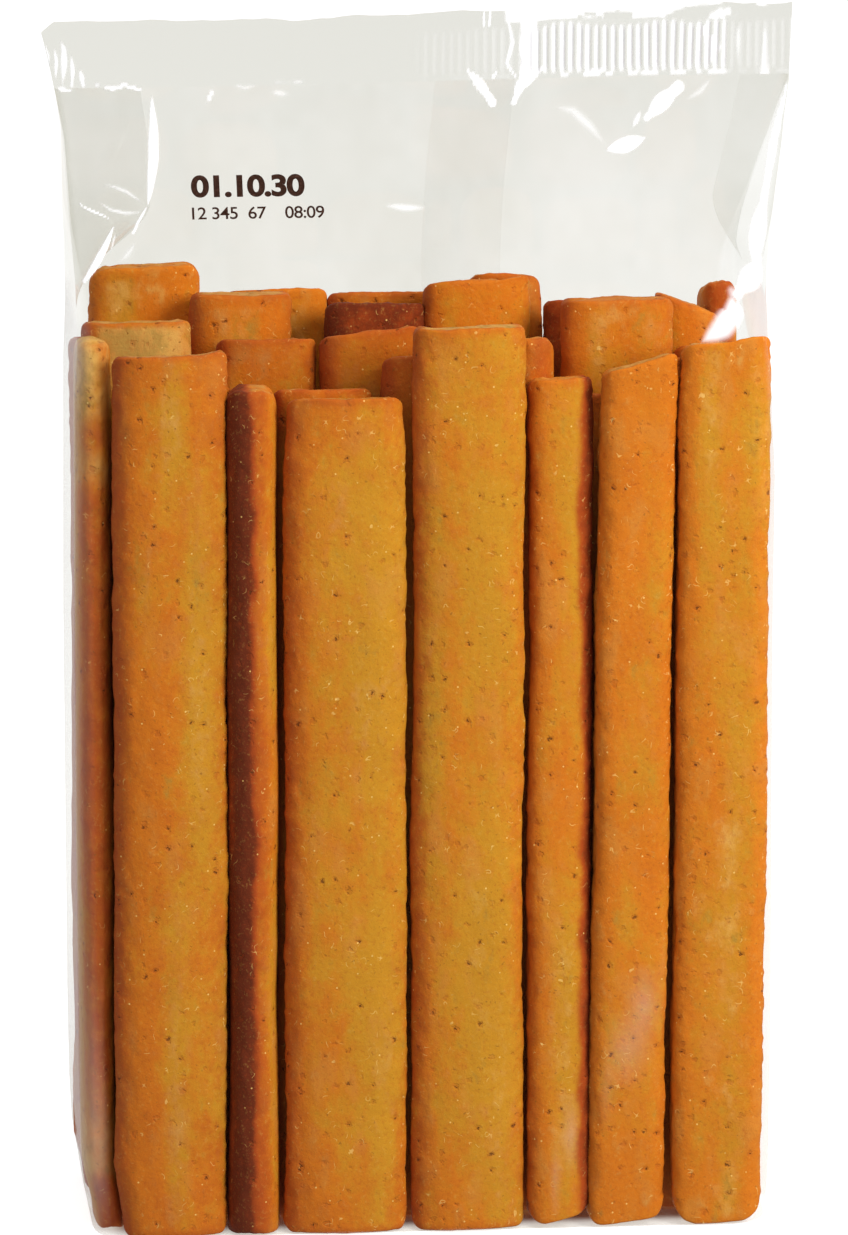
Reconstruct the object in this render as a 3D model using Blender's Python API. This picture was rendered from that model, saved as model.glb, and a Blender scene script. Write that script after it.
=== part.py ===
"""Sealed clear film bag packed with flat crispbread sticks, as one closed solid.

Units are metres and +Z is up. The bag stands on its flat base with its centre
at the origin, its wide face towards -Y. The solid is the bag's outer form: the
walls lie on the sticks inside, the head above the sticks narrows like a gable
with a tuck folded into each side, and a crimped seal closes it along the top.
"""

import math
from dataclasses import dataclass

import bmesh
import bpy

MM = 0.001

# driving sizes
BAG_WIDTH = 120 * MM  # across the packed sticks
BAG_DEPTH = 52 * MM
STICK_HEIGHT = 161.5 * MM  # where the walls leave the sticks
SEAL_FOOT = 201.3 * MM  # lower edge of the crimped seal, mid bag
SEAL_HEIGHT = 12.2 * MM
SEAL_WIDTH = 132 * MM
SEAL_FLARE = 0.4 * MM  # how much wider each end of the seal is at its top
SEAL_THICKNESS = 1.4 * MM
SEAL_CORNER = 0.3 * MM
SEAL_RISE = 0.5 * MM  # the seal climbs this far from mid bag to the +X end
CRIMP_DEPTH = 0.3 * MM

BASE_RADIUS = 2 * MM  # round of the lower edge
CORNER_RADIUS = 7 * MM  # round of the upright corners
TUCK_DEPTH = 21 * MM  # how far each side folds in under the seal
TUCK_MOUTH = 2.6 * MM  # half depth of the bag just under the seal
TUCK_CLOSE = 0.8 * MM  # height in which the tuck closes into the seal
HEAD_BOW = 1.2 * MM  # how far the head's walls bulge between sticks and seal
GROOVE_DEPTH = 1.1 * MM  # how far the film dips between two sticks of a face
SIDE_GROOVE = 0.77 * MM  # the same on the sides
FILM_WAVE = 0.35 * MM  # slow unevenness of the walls

# widths in mm of the sticks along each face, in the direction of +X or +Y
FRONT_BAYS = (6.2, 20.4, 9.0, 22.2, 20.5, 13.0, 12.6, 16.1)
BACK_BAYS = (15.0, 20.4, 12.2, 20.8, 8.7, 20.1, 17.6, 5.8)
SIDE_BAYS = (10.0, 9.6, 10.4, 9.4, 10.6)

COLUMNS_PER_BAY = 6
COLUMNS_PER_SIDE_BAY = 3
CORNER_STEPS = 3
BASE_STEPS = 3
BODY_STEPS = 12
HEAD_STEPS = 9
SEAL_STEPS = 3

BREAD_COLOUR = (0.50, 0.19, 0.035, 1.0)
BREAD_ROUGHNESS = 0.42


@dataclass
class Row:
    """One level of the loft, with what shapes its section.

    groove and even run from 0 to 1: how far the film dips between sticks, and
    how far its columns have spread from the sticks' spacing to an even one.
    """

    z: float
    half_width: float
    half_depth: float
    corner: float
    groove: float = 0.0
    tuck: float = 0.0
    even: float = 0.0
    wave: float = FILM_WAVE
    crimp: float = 0.0


def smooth(t):
    """Ease from 0 to 1 with no slope at either end."""
    t = min(max(t, 0.0), 1.0)
    return t * t * (3 - 2 * t)


def mix(a, b, t):
    """Value between a and b."""
    return a + (b - a) * t


def bay_columns(bays, per_bay):
    """Columns along a face as pairs: place from -1 to 1, and dip from 0 to 1."""
    total = sum(bays)
    columns = []
    start = 0.0
    for bay in bays:
        for step in range(per_bay):
            t = step / per_bay
            dip = (1 - math.sin(math.pi * t)) ** 2
            columns.append((2 * (start + bay * t) / total - 1, dip))
        start += bay
    columns.append((1.0, 1.0))
    return columns


def film_wave(x, y, z):
    """Slow in-and-out unevenness of a wall, from -1 to 1."""
    wide = math.sin(46 * x + 31 * z + 0.7) * math.sin(38 * z - 22 * y + 1.9)
    fine = math.sin(95 * x - 60 * y + 52 * z)
    return 0.7 * wide + 0.3 * fine


def base_rows():
    """Rows of the rounded lower edge. The first one is the flat base's outline."""
    rows = []
    for step in range(BASE_STEPS + 1):
        angle = math.pi / 2 * step / BASE_STEPS
        inset = BASE_RADIUS * (1 - math.sin(angle))
        row = Row(
            z=BASE_RADIUS * (1 - math.cos(angle)),
            half_width=BAG_WIDTH / 2 - inset,
            half_depth=BAG_DEPTH / 2 - inset,
            corner=CORNER_RADIUS - inset / 2,
            groove=mix(0.3, 1.0, step / BASE_STEPS),
            wave=FILM_WAVE * step / BASE_STEPS,
        )
        rows.append(row)
    return rows


def body_rows():
    """Rows where the walls lie on the sticks."""
    rows = []
    for step in range(1, BODY_STEPS + 1):
        row = Row(
            z=mix(BASE_RADIUS, STICK_HEIGHT, step / BODY_STEPS),
            half_width=BAG_WIDTH / 2,
            half_depth=BAG_DEPTH / 2,
            corner=CORNER_RADIUS,
            groove=1.0,
        )
        rows.append(row)
    return rows


def head_rows():
    """Rows of the empty head, where faces lean together and sides fold in."""
    rows = []
    for step in range(1, HEAD_STEPS + 1):
        t = step / HEAD_STEPS
        row = Row(
            z=mix(STICK_HEIGHT, SEAL_FOOT, t),
            half_width=mix(BAG_WIDTH, SEAL_WIDTH, t) / 2,
            half_depth=mix(BAG_DEPTH / 2, TUCK_MOUTH, t) + HEAD_BOW * math.sin(math.pi * t),
            corner=mix(CORNER_RADIUS, SEAL_CORNER, smooth(1.4 * t)),
            groove=1 - smooth(2.5 * t),
            tuck=TUCK_DEPTH * smooth(0.15 + 0.85 * t) * min(1.0, 3 * t),
            even=t,
        )
        rows.append(row)
    return rows


def seal_rows():
    """Rows of the flat crimped seal."""
    rows = []
    for step in range(SEAL_STEPS + 1):
        t = step / SEAL_STEPS
        row = Row(
            z=mix(SEAL_FOOT + TUCK_CLOSE, SEAL_FOOT + SEAL_HEIGHT, t),
            half_width=SEAL_WIDTH / 2 + SEAL_FLARE * t,
            half_depth=SEAL_THICKNESS / 2,
            corner=SEAL_CORNER,
            even=1.0,
            wave=0.0,
            crimp=CRIMP_DEPTH,
        )
        rows.append(row)
    return rows


def face_points(row, columns, side):
    """Points of the front (side -1) or back (side 1) wall, left to right."""
    flat_half = row.half_width - row.corner
    count = len(columns) - 1
    points = []
    for index, (place, dip) in enumerate(columns):
        x = flat_half * mix(place, 2 * index / count - 1, row.even)
        y = side * (row.half_depth - GROOVE_DEPTH * dip * row.groove)
        y += side * row.wave * film_wave(x, y, row.z)
        y += row.crimp * (-1) ** index
        z = row.z + SEAL_RISE * row.even * x / (SEAL_WIDTH / 2)
        points.append((x, y, z))
    return points


def side_points(row, side, start_y, end_y):
    """Points of a side wall from start_y, its front, to end_y, its back.

    side is -1 for the left wall and 1 for the right. A corner arc leads in
    and out, and the middle of the wall folds in by the row's tuck.
    """
    flat_half = row.half_width - row.corner
    z = row.z + SEAL_RISE * row.even * side
    low_y = start_y + row.corner
    high_y = end_y - row.corner
    if high_y - low_y < row.corner:
        low_y = mix(start_y, end_y, 0.3)
        high_y = mix(start_y, end_y, 0.7)
    front_arc = []
    back_arc = []
    for step in range(1, CORNER_STEPS):
        angle = math.pi / 2 * step / CORNER_STEPS
        x = side * (flat_half + row.corner * math.sin(angle))
        front_arc.append((x, mix(start_y, low_y, 1 - math.cos(angle)), z))
        back_arc.append((x, mix(end_y, high_y, 1 - math.cos(angle)), z))
    wall = []
    for place, dip in bay_columns(SIDE_BAYS, COLUMNS_PER_SIDE_BAY):
        fold = row.tuck * (1 - abs(place))
        groove = SIDE_GROOVE * dip * row.groove * (1 - place * place)
        x = side * (row.half_width - fold - groove)
        wall.append((x, mix(low_y, high_y, (place + 1) / 2), z))
    return front_arc + wall + back_arc[::-1]


def section(row):
    """One closed section as four runs: front, right side, back, left side.

    The front runs left to right and the back right to left, so that the whole
    ring turns anticlockwise seen from above.
    """
    front = face_points(row, bay_columns(FRONT_BAYS, COLUMNS_PER_BAY), -1)
    back = face_points(row, bay_columns(BACK_BAYS, COLUMNS_PER_BAY), 1)
    right = side_points(row, 1, front[-1][1], back[-1][1])
    left = side_points(row, -1, front[0][1], back[0][1])
    return front, right, back[::-1], left[::-1]


def add_walls(mesh, rings):
    """Join each ring of vertices to the next one up."""
    for lower, upper in zip(rings, rings[1:]):
        for index in range(len(lower)):
            after = (index + 1) % len(lower)
            mesh.faces.new((lower[index], lower[after], upper[after], upper[index]))


def add_seal_top(mesh, ring, counts):
    """Close the top of the seal: a strip across its thickness, with two ends.

    counts holds how many vertices of the ring each of its four runs has.
    """
    runs = []
    start = 0
    for count in counts:
        runs.append(ring[start : start + count])
        start += count
    front, right, back, left = runs
    facing = back[::-1]
    for index in range(len(front) - 1):
        mesh.faces.new((front[index], front[index + 1], facing[index + 1], facing[index]))
    mesh.faces.new([front[-1], *right, back[0]])
    mesh.faces.new([back[-1], *left, front[0]])


def bag_mesh():
    """Loft the bag's sections into one closed mesh."""
    sections = [section(row) for row in base_rows() + body_rows() + head_rows() + seal_rows()]
    mesh = bmesh.new()
    rings = []
    for runs in sections:
        rings.append([mesh.verts.new(point) for run in runs for point in run])
    add_walls(mesh, rings)
    mesh.faces.new(rings[0][::-1])
    add_seal_top(mesh, rings[-1], [len(run) for run in sections[-1]])
    bmesh.ops.triangulate(mesh, faces=mesh.faces)
    data = bpy.data.meshes.new("film_bag")
    mesh.to_mesh(data)
    mesh.free()
    return data


def bread_material():
    """Baked bread seen through clear film."""
    material = bpy.data.materials.new("bread_in_film")
    material.use_nodes = True
    shader = material.node_tree.nodes["Principled BSDF"]
    shader.inputs["Base Color"].default_value = BREAD_COLOUR
    shader.inputs["Roughness"].default_value = BREAD_ROUGHNESS
    shader.inputs["Metallic"].default_value = 0.0
    return material


def main():
    """Remove what the file holds and build the bag."""
    for old in list(bpy.data.objects):
        bpy.data.objects.remove(old, do_unlink=True)
    collection = bpy.data.collections.new("crispbread_stick_bag")
    bpy.context.scene.collection.children.link(collection)
    bag = bpy.data.objects.new("film_bag", bag_mesh())
    bag.data.materials.append(bread_material())
    collection.objects.link(bag)
    bag.data.shade_smooth()
    bag.data.set_sharp_from_angle(angle=math.radians(40))


main()
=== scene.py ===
"""Looks of a clear film bag packed with flat crispbread sticks.

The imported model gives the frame: one closed solid, the bag with its contents.
Here it is replaced by the film itself, the separate sticks inside it and the
code printed on its front. Lengths are in millimetres in the classes that shape
the pieces, and become metres when a mesh is made.
"""

import logging
import math
from dataclasses import dataclass
from enum import Enum

import bpy
import numpy as np
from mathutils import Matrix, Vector


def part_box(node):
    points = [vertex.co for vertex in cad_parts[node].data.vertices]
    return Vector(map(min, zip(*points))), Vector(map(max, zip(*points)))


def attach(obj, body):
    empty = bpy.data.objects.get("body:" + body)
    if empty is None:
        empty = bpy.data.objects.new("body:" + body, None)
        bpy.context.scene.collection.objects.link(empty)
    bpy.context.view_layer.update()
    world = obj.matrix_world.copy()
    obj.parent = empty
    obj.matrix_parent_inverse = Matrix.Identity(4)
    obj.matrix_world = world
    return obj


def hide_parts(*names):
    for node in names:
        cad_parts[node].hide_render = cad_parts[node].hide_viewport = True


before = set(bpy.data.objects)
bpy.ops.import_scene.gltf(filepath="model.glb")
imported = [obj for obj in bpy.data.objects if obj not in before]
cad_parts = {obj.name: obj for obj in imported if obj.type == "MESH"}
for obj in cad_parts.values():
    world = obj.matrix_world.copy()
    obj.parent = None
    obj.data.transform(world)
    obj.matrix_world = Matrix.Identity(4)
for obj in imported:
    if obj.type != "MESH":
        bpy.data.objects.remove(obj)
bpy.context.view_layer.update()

MM = 0.001
BODY = "root"
BAG_NODE = "film_bag"
LOG = logging.getLogger("crispbread_bag")


# ---------------------------------------------------------------- numbers


def smooth(t: np.ndarray) -> np.ndarray:
    """Ease from 0 to 1 with no slope at either end."""
    t = np.clip(t, 0.0, 1.0)
    return t * t * (3 - 2 * t)


def ramp(x: np.ndarray, start: float, end: float) -> np.ndarray:
    """0 before start and 1 past end, eased between. start may be the higher of the two."""
    return smooth((x - start) / (end - start))


def mix(a: np.ndarray, b: np.ndarray, t: np.ndarray) -> np.ndarray:
    """Value between a and b."""
    return a + (b - a) * t


def rounding(over: np.ndarray, radius: float) -> np.ndarray:
    """How far a rounded edge falls away, at places that far past where its round begins."""
    over = np.maximum(over, 0)
    return radius - np.sqrt(np.maximum(radius**2 - over**2, 0))


def stacked(*parts: np.ndarray) -> np.ndarray:
    """Arrays and plain numbers side by side, as the columns of one array."""
    return np.stack(np.broadcast_arrays(*parts), axis=1)


def lattice(cell: np.ndarray, seed: int) -> np.ndarray:
    """Random value from -1 to 1 for each whole-numbered lattice point.

    Args:
        cell: Points as an array of n by 3 integers.
        seed: Which of the lattices to read.

    Returns:
        One value a point.
    """
    mixed = cell[:, 0] * 73856093 ^ cell[:, 1] * 19349663 ^ cell[:, 2] * 83492791
    mixed = (mixed + seed * 2654435761) & 0xFFFFFFFF
    mixed = ((mixed ^ (mixed >> 15)) * 2246822519) & 0xFFFFFFFF
    mixed = ((mixed ^ (mixed >> 13)) * 3266489917) & 0xFFFFFFFF
    mixed ^= mixed >> 16
    return mixed / 0x7FFFFFFF - 1.0


def noise(seed: int, *parts: np.ndarray) -> np.ndarray:
    """Smooth noise from -1 to 1 with features one unit across.

    Args:
        seed: Which noise to read.
        parts: The places' three coordinates, already divided by the feature size.

    Returns:
        One value a place.
    """
    points = stacked(*parts)
    low = np.floor(points).astype(np.int64)
    part = smooth(points - low)
    total = np.zeros(len(points))
    for corner in np.ndindex(2, 2, 2):
        share = np.prod(np.where(corner, part, 1 - part), axis=1)
        total += share * lattice(low + np.array(corner), seed)
    return total


# ---------------------------------------------------------------- meshes


def grid_faces(rows: int, columns: int, closed: bool) -> list:
    """Quads between neighbouring rows of vertices.

    Args:
        rows: How many rows there are.
        columns: How many vertices a row has.
        closed: Whether the last column joins the first.

    Returns:
        Faces as tuples of four indices, facing out if rows turn anticlockwise.
    """
    faces = []
    for start in range(0, (rows - 1) * columns, columns):
        for column in range(columns if closed else columns - 1):
            after = (column + 1) % columns
            faces.append((start + column, start + after, start + columns + after, start + columns + column))
    return faces


def make_object(name: str, points: np.ndarray, faces: list, finish: bpy.types.Material) -> bpy.types.Object:
    """Make a smooth-shaded mesh object from points in millimetres."""
    mesh = bpy.data.meshes.new(name)
    mesh.from_pydata((points * MM).tolist(), [], faces)
    mesh.shade_smooth()
    mesh.materials.append(finish)
    made = bpy.data.objects.new(name, mesh)
    bpy.context.scene.collection.objects.link(made)
    return made


def add_attributes(piece: bpy.types.Object, **values: np.ndarray) -> None:
    """Store numbers on each vertex under their names, for the piece's material to read."""
    for name, numbers in values.items():
        attribute = piece.data.attributes.new(name, "FLOAT", "POINT")
        attribute.data.foreach_set("value", numbers.astype(np.float32))


# ---------------------------------------------------------------- shader maths


class Value:
    """A shader socket that takes part in Python expressions."""

    def __init__(self, tree: "Nodes", socket: bpy.types.NodeSocket) -> None:
        """Wrap an output socket of a tree's nodes."""
        self.tree = tree
        self.socket = socket

    def _maths(self, operation: str, *operands: object) -> "Value":
        """Add a Math node on values and plain numbers."""
        made = self.tree.node("ShaderNodeMath", {"operation": operation}, dict(enumerate(operands)))
        return Value(self.tree, made.outputs[0])

    def __add__(self, other: object) -> "Value":
        """self + other."""
        return self._maths("ADD", self, other)

    __radd__ = __add__

    def __sub__(self, other: object) -> "Value":
        """self - other."""
        return self._maths("SUBTRACT", self, other)

    def __rsub__(self, other: object) -> "Value":
        """other - self."""
        return self._maths("SUBTRACT", other, self)

    def __mul__(self, other: object) -> "Value":
        """self * other."""
        return self._maths("MULTIPLY", self, other)

    __rmul__ = __mul__

    def __truediv__(self, other: object) -> "Value":
        """self / other."""
        return self._maths("DIVIDE", self, other)

    def __rtruediv__(self, other: object) -> "Value":
        """other / self."""
        return self._maths("DIVIDE", other, self)

    def __pow__(self, other: object) -> "Value":
        """self to the power of other."""
        return self._maths("POWER", self, other)

    def __rpow__(self, other: object) -> "Value":
        """other to the power of self."""
        return self._maths("POWER", other, self)

    def step(self, low: float, high: float) -> "Value":
        """0 below low and 1 above high, with a smooth change between.

        Args:
            low: Where the change begins. It may be the higher number, for 1 below and 0 above.
            high: Where the change ends.

        Returns:
            The mask.
        """
        first, last = (0.0, 1.0) if low < high else (1.0, 0.0)
        return self.span(min(low, high), max(low, high), first, last, "SMOOTHSTEP")

    def span(self, low: float, high: float, first: object, last: object, kind: str = "LINEAR") -> "Value":
        """Change from first to last as the value goes from low to high.

        Args:
            low: Where the change begins.
            high: Where it ends.
            first: What it starts from, a value or a plain number.
            last: What it ends at.
            kind: How the change runs between them.

        Returns:
            The result.
        """
        sockets = {"Value": self, "From Min": low, "From Max": high, "To Min": first, "To Max": last}
        made = self.tree.node("ShaderNodeMapRange", {"interpolation_type": kind}, sockets)
        return Value(self.tree, made.outputs["Result"])


class Nodes:
    """A node tree, with short ways to add to it."""

    def __init__(self, tree: bpy.types.NodeTree) -> None:
        """Start with the tree emptied."""
        self.tree = tree
        tree.nodes.clear()

    def node(self, kind: str, settings: dict, sockets: dict) -> bpy.types.Node:
        """Add a node.

        Args:
            kind: The node's type.
            settings: The node's own properties.
            sockets: Numbers, colours or links by the name or number of the input.

        Returns:
            The node.
        """
        made = self.tree.nodes.new(kind)
        for name, value in settings.items():
            setattr(made, name, value)
        for name, value in sockets.items():
            if isinstance(value, Value):
                value = value.socket
            if isinstance(value, bpy.types.NodeSocket):
                self.tree.links.new(value, made.inputs[name])
            else:
                made.inputs[name].default_value = value
        return made

    def value(self, kind: str, output: object, sockets: dict) -> Value:
        """One output, by its name or number, of a new node."""
        return Value(self, self.node(kind, {}, sockets).outputs[output])

    def parts(self, where: Value) -> list:
        """The three coordinates of a place."""
        made = self.node("ShaderNodeSeparateXYZ", {}, {0: where})
        return [Value(self, output) for output in made.outputs]


class Finish(Nodes):
    """A material built from nodes."""

    def __init__(self, name: str) -> None:
        """Start an empty material."""
        self.material = bpy.data.materials.new(name)
        self.material.use_nodes = True
        super().__init__(self.material.node_tree)

    def place(self, stretch: tuple = (1.0, 1.0, 1.0)) -> Value:
        """Where a point is on the piece, in millimetres, with each axis times its stretch."""
        where = self.value("ShaderNodeTexCoord", "Object", {})
        scale = tuple(s / MM for s in stretch)
        made = self.node("ShaderNodeVectorMath", {"operation": "MULTIPLY"}, {0: where, 1: scale})
        return Value(self, made.outputs[0])

    def mottle(self, where: Value, size: float, detail: float = 2.0, rough: float = 0.5) -> Value:
        """Noise from 0 to 1 with features of that size in millimetres."""
        sockets = {"Vector": where, "Scale": 1.0 / size, "Detail": detail, "Roughness": rough}
        return self.value("ShaderNodeTexNoise", "Fac", sockets)

    def warped(self, where: Value, size: float, reach: float) -> Value:
        """A place moved about by noise with features of that size, as far as reach in millimetres."""
        sockets = {"Vector": where, "Scale": 1.0 / size, "Detail": 1.0}
        shift = self.value("ShaderNodeTexNoise", "Color", sockets)
        sockets = {0: shift, 1: (2 * reach,) * 3, 2: where}
        made = self.node("ShaderNodeVectorMath", {"operation": "MULTIPLY_ADD"}, sockets)
        return Value(self, made.outputs[0])

    def scatter(self, where: Value, pitch: float, kinds: list) -> list:
        """Scattered soft-edged spots of several kinds.

        Args:
            where: Point in millimetres.
            pitch: Spacing of the places where a spot may be, in millimetres.
            kinds: For each kind the spot's radius in millimetres, the share of the places that
                hold one, and which of the draws, 0 to 2, decides it.

        Returns:
            For each kind 1 in a spot and 0 outside.
        """
        cells = self.node("ShaderNodeTexVoronoi", {}, {"Vector": where, "Scale": 1.0 / pitch})
        away = Value(self, cells.outputs["Distance"])
        draws = self.node("ShaderNodeSeparateColor", {}, {"Color": cells.outputs["Color"]}).outputs
        masks = []
        for radius, share, draw in kinds:
            near = away.step(1.3 * radius / pitch, 0.6 * radius / pitch)
            masks.append(near * (share - Value(self, draws[draw])).step(-0.01, 0.01))
        return masks

    def attribute(self, name: str) -> Value:
        """A number stored on the piece's vertices."""
        return Value(self, self.node("ShaderNodeAttribute", {"attribute_name": name}, {}).outputs["Fac"])

    def blend(self, low: object, high: tuple, factor: Value) -> Value:
        """Colour between low, which may be one made before, and high."""
        low = low if isinstance(low, Value) else (*low, 1.0)
        sockets = {0: factor, 6: low, 7: (*high, 1.0)}
        return Value(self, self.node("ShaderNodeMix", {"data_type": "RGBA"}, sockets).outputs[2])

    def bump(self, height: Value, depth: float) -> Value:
        """Normal of a surface raised by height times depth in millimetres."""
        return self.value("ShaderNodeBump", "Normal", {"Height": height, "Distance": depth * MM})

    def principled(self, sockets: dict) -> Value:
        """A Principled shader."""
        return self.value("ShaderNodeBsdfPrincipled", 0, sockets)

    def share(self, factor: Value, first: Value, second: Value) -> Value:
        """A mix of two shaders, the second one by the factor."""
        return self.value("ShaderNodeMixShader", 0, {0: factor, 1: first, 2: second})

    def finish(self, surface: Value) -> bpy.types.Material:
        """Link the surface to the output and return the material."""
        self.node("ShaderNodeOutputMaterial", {}, {"Surface": surface})
        return self.material


# ---------------------------------------------------------------- finishes


@dataclass(frozen=True)
class BreadFinish:
    """Baked crispbread: golden faces, browner edges, pits, specks and pale glints, with painted shade on the
    sides away from the light.

    Sizes, pitches and the relief are in millimetres. A kind of spot has its
    radius, the share of the places that hold one, and which draw decides it.
    """

    ochre: tuple = (0.58, 0.256, 0.016)
    orange: tuple = (0.64, 0.176, 0.010)
    tan: tuple = (0.61, 0.280, 0.050)
    brown: tuple = (0.40, 0.066, 0.010)
    dark: tuple = (0.090, 0.015, 0.007)
    cream: tuple = (0.72, 0.44, 0.11)
    olive: tuple = (0.30, 0.20, 0.045)
    pit: tuple = (0.15, 0.045, 0.010)
    herb: tuple = (0.24, 0.100, 0.014)
    glint: tuple = (0.98, 0.64, 0.20)
    blotch_size: float = 2.2
    drift_size: float = 5.0
    grain_size: float = 0.8
    pit_pitch: float = 2.1
    pits: tuple = (0.25, 0.22, 0)
    hollows: tuple = (0.60, 0.30, 0)
    fleck_pitch: float = 1.15
    flecks: tuple = (0.17, 0.36, 0)
    crumb_radius: float = 0.22
    glint_pitch: float = 1.25
    glints: tuple = (0.16, 0.10, 0)
    tufts: tuple = (0.62, 0.08, 1)
    strand_size: float = 1.3
    relief: float = 0.28
    roughness: float = 0.68

    def make(self) -> bpy.types.Material:
        """Build the material.

        Returns:
            A material that reads the attributes warm, bake, pale and rim. warm and bake hold painted shade as
            well, and rim paints highlight specks on the lit right edge.
        """
        f = Finish("baked_crispbread")
        where = f.place()
        ragged = f.warped(where, 0.7, 0.6)
        warm, bake, pale, rim = (f.attribute(name) for name in ("warm", "bake", "pale", "rim"))
        blotch = f.mottle(f.place((1.0, 1.0, 0.7)), self.blotch_size, 3.0, 0.6) - 0.5
        drift = f.mottle(f.place((1.0, 1.0, 0.4)), self.drift_size, 1.0, 0.5) - 0.5
        grain = f.mottle(where, self.grain_size, 3.0, 0.75) - 0.5
        pits, hollows = f.scatter(ragged, self.pit_pitch, [self.pits, self.hollows])
        # Crumbs along the lit right edge take the glint colour: painted highlights.
        lit_crumb = (self.crumb_radius, rim * 0.5, 1)
        flecks, lit_crumbs = f.scatter(ragged, self.fleck_pitch, [self.flecks, lit_crumb])
        glints, tufts = f.scatter(where, self.glint_pitch, [self.glints, self.tufts])
        line = f.mottle(where, self.strand_size, 0.0) - 0.5
        strands = (line * line).step(0.0008, 0.0001) * tufts

        layers = [
            (self.orange, (warm + blotch * 1.2 + drift * 0.7).step(0.0, 1.0)),
            (self.tan, (drift + blotch * 0.4).step(0.03, 0.25) * 0.35),
            (self.cream, (pale + blotch * 1.6).step(0.15, 1.1) * 0.8),
            (self.olive, (pale - blotch * 3.6 - drift * 2.5).step(0.6, 1.7) * 0.5),
            # The brown and dark layers follow bake, which holds painted shade as well as browning.
            (self.brown, (bake + blotch * 0.7).step(0.0, 1.1)),
            (self.dark, (bake + blotch * 1.2).step(0.9, 1.7) * 0.75),
            (self.brown, grain.step(-0.02, -0.22) * 0.30),
            (self.cream, grain.step(0.04, 0.26) * 0.24),
            (self.brown, hollows * 0.25),
            (self.pit, pits * 0.7),
            (self.herb, flecks * (0.5 + pale * 0.4)),
            (self.glint, glints * 0.7 + lit_crumbs * 0.5 + strands * 0.45),
        ]
        colour = self.ochre
        for tint, cover in layers:
            colour = f.blend(colour, tint, cover)
        raised = blotch * 0.5 + grain * 0.4 - hollows * 0.3 - pits * 0.7
        surface = f.principled(
            {
                "Base Color": colour,
                "Roughness": self.roughness + grain * 0.3,
                "Specular IOR Level": 0.22,
                "Normal": f.bump(raised, self.relief),
            }
        )
        return f.finish(surface)


@dataclass(frozen=True)
class FilmFinish:
    """Clear glossy film, a little grey, painted white with highlights and reflections where it is creased,
    crimped or seen edge on.

    depth is how many times the usual tone the film's smoky share has, and
    straight_on and grazing how much it mirrors from the front and the side.
    """

    grey: tuple = (0.140, 0.142, 0.172)
    depth: float = 2.5
    sheen_white: tuple = (0.96, 0.96, 0.98)
    gloss: float = 0.06
    straight_on: float = 0.030
    grazing: float = 0.3

    def make(self) -> bpy.types.Material:
        """Build the material.

        Returns:
            A material that reads the attributes grey, the film's tone, haze, how much white painted highlight
            and reflection it has, and shine, how strongly it mirrors from the side.
        """
        f = Finish("clear_film")
        darkest = tuple(1 - self.depth * c for c in self.grey)
        clear, smoky = (
            f.value("ShaderNodeBsdfTransparent", 0, {"Color": (*colour, 1.0)})
            for colour in ((1.0, 1.0, 1.0), darkest)
        )
        clear = f.share(f.attribute("grey") / self.depth, clear, smoky)
        mirror = f.principled({"Base Color": (1.0, 1.0, 1.0, 1.0), "Metallic": 1.0, "Roughness": self.gloss})
        # A white diffuse layer, mixed in by haze, paints highlights and reflections.
        sheen_shader = f.principled({"Base Color": (*self.sheen_white, 1.0), "Roughness": 0.35})
        facing = f.value("ShaderNodeLayerWeight", "Facing", {"Blend": 0.5})
        mirrored = facing**4.0 * (self.grazing - self.straight_on) + self.straight_on
        film = f.share(mirrored * f.attribute("shine"), clear, mirror)
        return f.finish(f.share(f.attribute("haze"), film, sheen_shader))


@dataclass(frozen=True)
class InkFinish:
    """Dark brown printing ink with the slight unevenness of a stamp."""

    ink: tuple = (0.030, 0.011, 0.006)
    worn: tuple = (0.075, 0.032, 0.020)

    def make(self) -> bpy.types.Material:
        """Build the material."""
        f = Finish("date_ink")
        patchy = f.mottle(f.place(), 0.35, 2.0, 0.6).step(0.45, 0.8)
        colour = f.blend(self.ink, self.worn, patchy)
        return f.finish(f.principled({"Base Color": colour, "Roughness": 0.55, "Specular IOR Level": 0.25}))


@dataclass(frozen=True)
class FloorFinish:
    """Plain pale studio floor, with a painted contact shadow in its glow under the bag.

    shade_front is where the glow fades behind the bag's front, and shade_depth
    and shade_width are the squares of where it comes back at the bag's ends.
    """

    pale: tuple = (0.50, 0.50, 0.50)
    worn: tuple = (0.54, 0.54, 0.54)
    glow: float = 0.80
    white: tuple = (1.0, 1.0, 1.0)
    shade: tuple = (0.10, 0.03, 0.02)
    shade_front: tuple = (-22.5, -16.5)
    shade_depth: tuple = (24.0**2, 18.0**2)
    shade_width: tuple = (56.0**2, 50.0**2)
    faint_size: float = 400.0

    def make(self) -> bpy.types.Material:
        """Build the material, which isn't sampled as a lamp."""
        f = Finish("studio_floor")
        where = f.place()
        across, along, _ = f.parts(where)
        # The glow turns dark under the bag: a painted contact shadow.
        shaded = along.step(*self.shade_front) * (along * along).step(*self.shade_depth)
        shaded = shaded * (across * across).step(*self.shade_width)
        surface = f.principled(
            {
                "Base Color": f.blend(self.pale, self.worn, f.mottle(where, self.faint_size)),
                "Roughness": 0.8,
                "Specular IOR Level": 0.1,
                "Emission Color": f.blend(self.white, self.shade, shaded),
                "Emission Strength": self.glow,
            }
        )
        floor = f.finish(surface)
        floor.cycles.emission_sampling = "NONE"
        return floor


# ---------------------------------------------------------------- sticks


class Detail(Enum):
    """How finely a stick is meshed: steps round it, and spacing of its rows at its top and below."""

    FRONT = (104, 0.8, 0.8)
    BACK = (64, 1.2, 1.2)
    INNER = (56, 1.2, 5.0)


CAP_RINGS = np.array([0.80, 0.55, 0.30, 0.10])
SEEN_TOP = 28.0
SQUEEZED_FOOT = 14.0
FOOT_SQUEEZE = 2.2
SUPERELLIPSE_POINTS = 4001


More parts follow.
